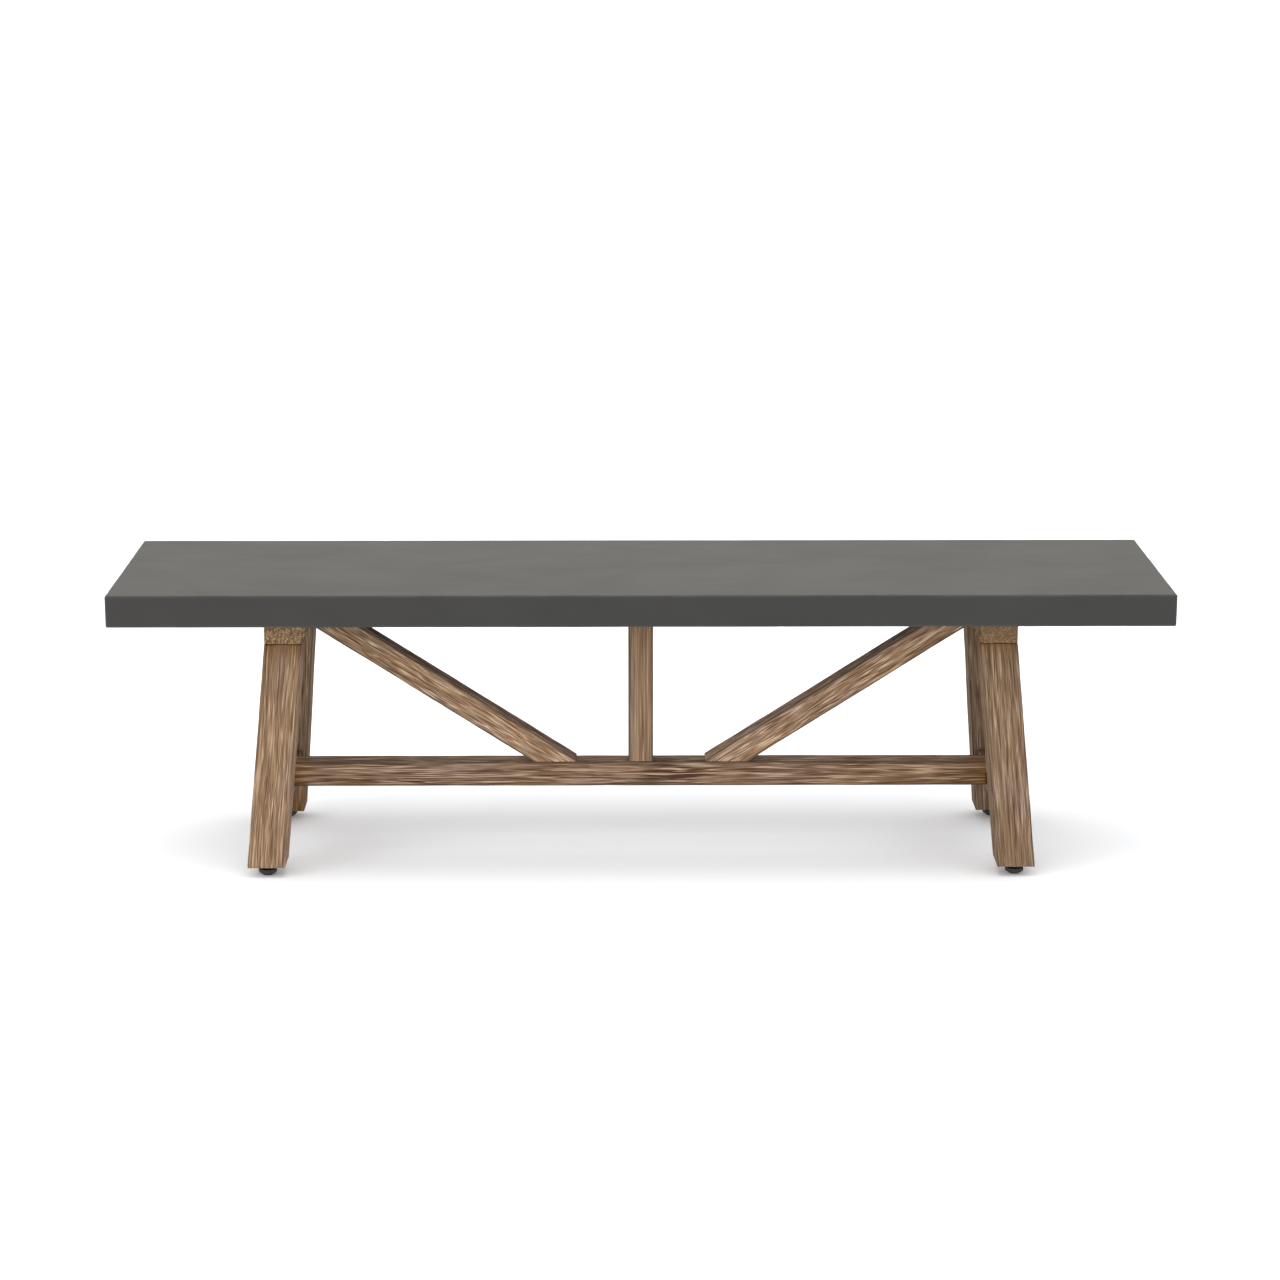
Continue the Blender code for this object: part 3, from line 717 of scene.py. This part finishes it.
def brushed_skin(grain, half, depth, edge_radius):
    """Points and quads of a bar with unevenly rounded edges and grooves brushed out along z."""
    steps = [
        even_steps(2 * half[0], ACROSS_STEP),
        even_steps(2 * half[1], ACROSS_STEP),
        even_steps(2 * half[2], ALONG_STEP),
    ]
    unit, quads = block_skin(steps)
    local = unit * half
    radius = edge_radius * (1.0 + 0.45 * grain.noise.at(local * np.array((60.0, 60.0, 24.0))))[:, None]
    inner = np.clip(local, radius - half, half - radius)
    outward = local - inner
    outward = outward / np.linalg.norm(outward, axis=1, keepdims=True)
    rounded = inner + outward * radius
    groove = grain.grooves(local)
    near_end = np.clip((half[2] - np.abs(local[:, 2])) / 0.004, 0.0, 1.0)
    cut_face = np.abs(outward[:, 2])
    bite = depth * groove * (0.45 + 0.55 * near_end) * (1.0 - 0.4 * cut_face) + 0.00004
    return rounded - outward * bite[:, None], quads


def mark_bar(mesh, grain, half, turn, stained, painted_shade_strength, figured):
    """Note on each point what the timber material needs to know about its place on the bar."""
    points = mesh_points(mesh)
    set_point_values(mesh, "groove", grain.grooves(points))
    gap = np.abs(half[None, :2] - np.abs(points[:, :2])).max(axis=1)
    set_point_values(mesh, "edge", np.clip(1.9 - gap / 0.0021, 0.0, 1.0))
    # A darker, warmer tint reaching in from either end; at the back-left leg's foot it is painted shade.
    stain = np.zeros(len(points))
    for sign, reach in zip((-1.0, 1.0), stained):
        if reach > 0.0:
            uneven = grain.noise.at(points * np.array((90.0, 90.0, 9.0)) + 41.0)
            from_end = (half[2] - sign * points[:, 2]) / (reach * (1.0 + 0.35 * uneven))
            stain = np.maximum(stain, np.clip(1.2 - from_end, 0.0, 1.0))
    set_point_values(mesh, "stain", stain)
    # Painted shade on the top face, where the slab above shades it, weaker towards the front edge.
    top = np.clip((points[:, 0] - half[0] + 0.0022) / 0.0012, 0.0, 1.0)
    forward = -(points @ turn)[:, 1] / half[1]
    shade_fade_to_front = np.clip((0.45 - forward) / 0.2, 0.3, 1.0)
    set_point_values(mesh, "painted_top_shade", painted_shade_strength * top * shade_fade_to_front)
    figure = np.zeros(len(points))
    for middle, reach, strength in figured:
        from_middle = np.abs(points[:, 2] - middle) / reach
        figure = np.maximum(figure, strength * np.clip(1.3 - from_middle, 0.0, 1.0))
    set_point_values(mesh, "figure", figure)


def brushed_bar(node, corners, seed, run=1.0, depth=0.00060, edge_radius=0.0013, stained=(0.0, 0.0),
                painted_shade_strength=0.0, figured=()):
    """A timber piece in place of a CAD node: a block between eight corners, brushed along z and trimmed.

    depth is that of the grooves. stained says how far a darker, warmer tint reaches from the low and
    from the high end; at the back-left leg's foot it is painted shade. painted_shade_strength is how much
    painted shade darkens the top face under the slab, less towards its front edge, and figured lists
    patches of darker, stronger grain as (middle along z, reach, strength).
    """
    corners = np.array(corners, dtype=float)
    half = bar_half_sizes(corners)
    turn = bar_axes(corners)
    centre = corners.mean(axis=0)
    grain = Grain(seed, run)
    shaped, quads = brushed_skin(grain, half, depth, edge_radius)
    placed = place_in_corners(shaped / half, corners)
    obj = mesh_object(f"{node}_timber", (placed - centre) @ turn.T, quads)
    obj.matrix_world = Matrix.Translation(centre) @ Matrix(turn.T.tolist()).to_4x4()
    bpy.context.view_layer.update()
    trim_by_node(obj, node)
    mark_bar(obj.data, grain, half, turn, stained, painted_shade_strength, figured)
    finish_mesh(obj)
    return obj


def box_corners(low, high, order=(0, 1, 2)):
    """Eight corners of an upright box, with the bar's x, y and z along the world axes in that order."""
    corners = []
    for number in range(8):
        signs = (number >> 2 & 1, number >> 1 & 1, number & 1)
        corner = [0.0, 0.0, 0.0]
        for sign, axis in zip(signs, order):
            corner[axis] = high[axis] if sign else low[axis]
        corners.append(corner)
    return corners


def ride_as(obj, body, slot, *nodes):
    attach(obj, body)
    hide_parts(*nodes)


SHAPE_LOOKS = ("depth", "edge_radius", "stained", "painted_shade_strength", "figured")


def add_timber(node, corners, seed, **looks):
    shape_looks = {key: looks.pop(key) for key in SHAPE_LOOKS if key in looks}
    obj = brushed_bar(node, corners, seed, looks.get("run", 1.0), **shape_looks)
    generator = np.random.default_rng(seed + 2)
    offset = tuple(generator.uniform(-3.0, 3.0, 3))
    obj.data.materials.clear()
    obj.data.materials.append(timber_material(f"timber_{node}", offset, **looks))
    ride_as(obj, "frame", "timber", node)
    return obj


def leg_corners(node, side, end):
    """A leg is a square that slides outwards both ways on its way down."""
    low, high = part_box(node)
    corners = []
    for number in range(8):
        right, back, top = number >> 2 & 1, number >> 1 & 1, number & 1
        if side > 0:
            x_low = low[0] if top else high[0] - LEG
        else:
            x_low = high[0] - LEG if top else low[0]
        if end > 0:
            y_low = low[1] if top else high[1] - LEG
        else:
            y_low = high[1] - LEG if top else low[1]
        corners.append((x_low + right * LEG, y_low + back * LEG, high[2] if top else low[2]))
    return corners


def lower_rail_corners(node):
    """The bar's ends follow the slope of the legs, so that it is longest at the bottom."""
    low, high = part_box(node)
    shorter = (high[2] - low[2]) * LEAN_FRONT_BACK
    corners = box_corners(low, high, (2, 0, 1))
    for corner in corners:
        if corner[2] == high[2]:
            corner[1] -= math.copysign(shorter, corner[1])
    return corners


def brace_corners(node, side):
    """A straight bar that runs past both cut ends, along the underside of the brace."""
    low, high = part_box(node)
    along = Vector((side * math.cos(BRACE_ANGLE), 0.0, math.sin(BRACE_ANGLE)))
    up = Vector((-side * math.sin(BRACE_ANGLE), 0.0, math.cos(BRACE_ANGLE)))
    nose_x = low[0] if side > 0 else high[0]
    top_start = Vector((nose_x, 0.0, low[2] + BRACE_NOSE_HEIGHT))
    reach = (high[0] - low[0]) / math.cos(BRACE_ANGLE)
    start = top_start - up * BAR - along * 0.010
    stop = top_start - up * BAR + along * (reach + 0.040)
    corners = []
    for number in range(8):
        upper, back, far = number >> 2 & 1, number >> 1 & 1, number & 1
        corner = (stop if far else start) + (up * BAR if upper else Vector())
        corner.y = high[1] if back else low[1]
        corners.append(tuple(corner))
    return corners


def make_timber():
    seed = FIRST_SEED
    for side_name, side in SIDES.items():
        for end_name, end in ENDS.items():
            node = f"leg_{end_name}_{side_name}"
            stained = (LEG_FOOT_PAINTED_SHADE.get(node, 0.0), LEG_HEAD_DARKENING)
            add_timber(node, leg_corners(node, side, end), seed, light=LEG_LIGHT[node], stained=stained,
                       **LEG_LOOKS)
            seed += SEED_STEP
        node = f"top_rail_{side_name}"
        add_timber(node, box_corners(*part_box(node), (2, 0, 1)), seed, rosy=0.0, depth=0.0009,
                   hue=TOP_RAIL_HUE, **TOP_RAIL_LOOKS[side_name])
        seed += SEED_STEP
        node = f"lower_rail_{side_name}"
        add_timber(node, lower_rail_corners(node), seed, **LOWER_RAIL_LOOKS)
        seed += SEED_STEP
        node = f"brace_{side_name}"
        add_timber(node, brace_corners(node, side), seed, run=1.1, contrast=1.1, lined=1.0,
                   **BRACE_LOOKS[side_name])
        seed += SEED_STEP
    add_timber("stretcher", box_corners(*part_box("stretcher"), (1, 2, 0)), seed, **STRETCHER_LOOKS)
    seed += SEED_STEP
    add_timber("centre_post", box_corners(*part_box("centre_post")), seed, **POST_LOOKS)


def make_slab():
    node = "seat_slab"
    low, high = (np.array(corner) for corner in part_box(node))
    size = high - low
    fine_step, fine_band = 0.0009, 0.0072
    steps = [
        edge_steps(length, spacing, fine_step, fine_band)
        for length, spacing in zip(size, (0.008, 0.008, 0.003))
    ]
    unit, quads = block_skin(steps)
    half = size / 2
    local = unit * half
    noise = SolidNoise(5)
    wear = 0.5 + 0.5 * noise.at(local * 28.0)
    chips = np.maximum(noise.at(local * 130.0 + 9.0) - 0.55, 0.0) / 0.45
    radius = (0.0024 + 0.0012 * wear + 0.0018 * chips)[:, None]
    inner = np.clip(local, radius - half, half - radius)
    outward = local - inner
    outward = outward / np.linalg.norm(outward, axis=1, keepdims=True)
    waves = 0.00012 * (1.0 + noise.at(local * 7.0 + 3.0)) + 0.00003 * (1.0 + noise.at(local * 45.0))
    shaped = inner + outward * (radius - waves[:, None])
    centre = (low + high) / 2
    slab = mesh_object("seat_slab_stone", shaped, quads)
    slab.location = centre
    bpy.context.view_layer.update()
    trim_by_node(slab, node)
    final = mesh_points(slab.data)
    gap = np.sort(np.abs(half - np.abs(final)), axis=1)
    set_point_values(slab.data, "edge", np.clip(1.0 - gap[:, 1] / 0.0040, 0.0, 1.0))
    set_point_values(slab.data, "sealed", np.clip((final[:, 2] - half[2] + 0.003) / 0.002, 0.0, 1.0))
    finish_mesh(slab)
    slab.data.materials.clear()
    slab.data.materials.append(stone_material())
    ride_as(slab, "frame", "seat_stone", node)


# Feet and screws, turned about their own Z.

def lathe(name, levels, steps):
    """A closed solid from levels of (height, radii), where radii is one number or one per step round."""
    turn = np.arange(steps) / steps * 2 * math.pi
    points = []
    for height, radii in levels:
        radii = np.broadcast_to(np.asarray(radii, dtype=float), (steps,))
        ring = (radii * np.cos(turn), radii * np.sin(turn), np.full(steps, height))
        points.append(np.stack(ring, axis=1))
    faces = []
    for level in range(len(levels) - 1):
        for step in range(steps):
            after = (step + 1) % steps
            low, high = level * steps, (level + 1) * steps
            faces.append((low + step, low + after, high + after, high + step))
    top = (len(levels) - 1) * steps
    faces.append(tuple(range(steps))[::-1])
    faces.append(tuple(top + step for step in range(steps)))
    mesh = bpy.data.meshes.new(name)
    mesh.from_pydata(np.concatenate(points).tolist(), [], faces)
    mesh.update()
    obj = bpy.data.objects.new(name, mesh)
    bpy.context.scene.collection.objects.link(obj)
    return obj


def hexagon_radii(half_width, steps):
    """Distances from a hexagon's middle to its outline, which is half_width at the middle of each side."""
    turn = np.arange(steps) / steps * 2 * math.pi
    return half_width / np.cos((turn + math.pi / 6) % (math.pi / 3) - math.pi / 6)


def thread_levels(radius, depth, low, high, steps):
    """Levels of a screw thread that runs out at both ends."""
    turn = np.arange(steps) / steps
    levels = []
    for height in np.arange(low, high, THREAD_PITCH / 8):
        phase = (height / THREAD_PITCH - turn) % 1.0
        cut = np.clip(np.abs(phase - 0.5) * 2.6 - 0.3, 0.0, 1.0)
        fade = min(1.0, (height - low) / THREAD_PITCH, (high - height) / THREAD_PITCH)
        levels.append((height, radius - depth * fade * cut))
    return levels


def make_foot_pad(label, material):
    """A moulded pad: a ring it stands on, a flared skirt, grip ribs round the rim, and a dished top."""
    node = f"foot_pad_{label}"
    low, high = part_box(node)
    turn = np.arange(PAD_STEPS) / PAD_STEPS * 2 * math.pi
    ribs = PAD_RIB_DEPTH * (0.5 - 0.5 * np.cos(PAD_RIB_COUNT * turn))
    rim_levels = tuple((height, PAD_RIM - ribs) for height in PAD_RIM_HEIGHTS)
    pad = lathe(f"{node}_moulded", PAD_SKIRT_LEVELS + rim_levels + PAD_TOP_LEVELS, PAD_STEPS)
    pad.location = ((low[0] + high[0]) / 2, (low[1] + high[1]) / 2, low[2])
    finish_mesh(pad, 32.0)
    pad.data.materials.append(material)
    ride_as(pad, f"foot_{label}", "foot_plastic", node)


def make_foot_stem(label, material):
    """A head hidden in the pad, a hexagon for a spanner with its corners turned off, and a cut thread."""
    node = f"foot_stem_{label}"
    low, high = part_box(node)
    hexagon = hexagon_radii(STEM_HEXAGON, STEM_STEPS)
    eased = np.minimum(hexagon, STEM_HEXAGON_CORNER)
    levels = list(STEM_HEAD_LEVELS)
    levels += [
        (0.0103, 0.0064),
        (0.0106, eased),
        (0.0110, hexagon),
        (0.0153, hexagon),
        (0.0157, eased),
        (0.0160, 0.0064),
        (0.0160, STEM_SHANK),
    ]
    levels += thread_levels(STEM_SHANK, STEM_THREAD_DEPTH, *STEM_THREAD, STEM_STEPS)
    levels += [(0.0413, STEM_SHANK), (0.0420, 0.0022)]
    stem = lathe(f"{node}_threaded", levels, STEM_STEPS)
    stem.location = ((low[0] + high[0]) / 2, (low[1] + high[1]) / 2, 0.0)
    finish_mesh(stem, 32.0)
    stem.data.materials.append(material)
    ride_as(stem, f"foot_{label}", "steel", node)


def make_screw(node, direction, sizes, material):
    """A cap screw with a knurled head, a hexagon socket and a thread. direction is the way it is driven."""
    shank, head, head_height, socket = sizes
    low, high = (Vector(corner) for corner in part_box(node))
    middle = (low + high) / 2
    direction = Vector(direction)
    length = abs((high - low).dot(direction))
    turn = np.arange(SCREW_STEPS) / SCREW_STEPS * 2 * math.pi
    knurl = 0.00012 * (0.5 - 0.5 * np.cos(24 * turn))
    hexagon = hexagon_radii(socket * 0.90, SCREW_STEPS)
    head_side = head - 0.00005
    levels = [
        (head_height * 0.42, socket * 0.30),
        (head_height * 0.46, hexagon),
        (0.0003, hexagon),
        (0.0, socket * 1.08),
        (0.0, head * 0.82),
        (head * 0.06, head * 0.94),
        (head * 0.14, head_side),
        (head * 0.18, head_side - knurl),
        (head_height * 0.86, head_side - knurl),
        (head_height * 0.92, head_side),
        (head_height, head - 0.0002),
        (head_height, shank),
    ]
    tip = shank * 0.4
    thread_start = head_height + 0.3 * length
    levels += thread_levels(shank, shank * 0.16, thread_start, length - tip, SCREW_STEPS)
    levels += [(length - tip, shank), (length, shank - tip)]
    screw = lathe(f"{node}_turned", levels, SCREW_STEPS)
    screw.location = middle - direction * (length / 2)
    screw.rotation_mode = "QUATERNION"
    screw.rotation_quaternion = direction.to_track_quat("Z", "Y")
    finish_mesh(screw, 32.0)
    screw.data.materials.append(material)
    ride_as(screw, "frame", "steel", node)


def make_hardware(steel, plastic):
    upwards = (0, 0, 1)
    for label in LABELS:
        make_foot_pad(label, plastic)
        make_foot_stem(label, steel)
        make_screw(f"seat_bolt_{label}", upwards, SEAT_BOLT, steel)
    make_screw("post_screw", upwards, POST_SCREW, steel)
    for side_name, side in SIDES.items():
        inwards = (-side, 0, 0)
        make_screw(f"stretcher_bolt_{side_name}", inwards, STRETCHER_BOLT, steel)
        make_screw(f"brace_head_screw_{side_name}", inwards, BRACE_SCREW, steel)
        make_screw(f"brace_foot_screw_{side_name}", upwards, BRACE_SCREW, steel)


def dress_frame_nodes(steel, brass, plastic, beech):
    """Give the CAD nodes that stay as they are a material."""
    kinds = {
        "seat_insert": brass,
        "foot_insert": brass,
        "leg_dowel": beech,
        "rail_tenon": beech,
        "post_pin": steel,
        "barrel_nut": steel,
        "foot_pad": plastic,
    }
    for name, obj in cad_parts.items():
        material = next((made for prefix, made in kinds.items() if name.startswith(prefix)), steel)
        for slot in obj.material_slots:
            slot.link = "OBJECT"
            slot.material = material


make_camera()
make_studio()
make_floor()
STEEL = metal_material("zinc_steel", (0.20, 0.205, 0.21), (0.40, 0.405, 0.41), 500.0, 0.36)
BRASS = metal_material("brass", (0.50, 0.36, 0.14), (0.78, 0.60, 0.28), 500.0, 0.30)
PLASTIC = plastic_material()
dress_frame_nodes(STEEL, BRASS, PLASTIC, beech_material())
make_slab()
make_timber()
make_hardware(STEEL, PLASTIC)
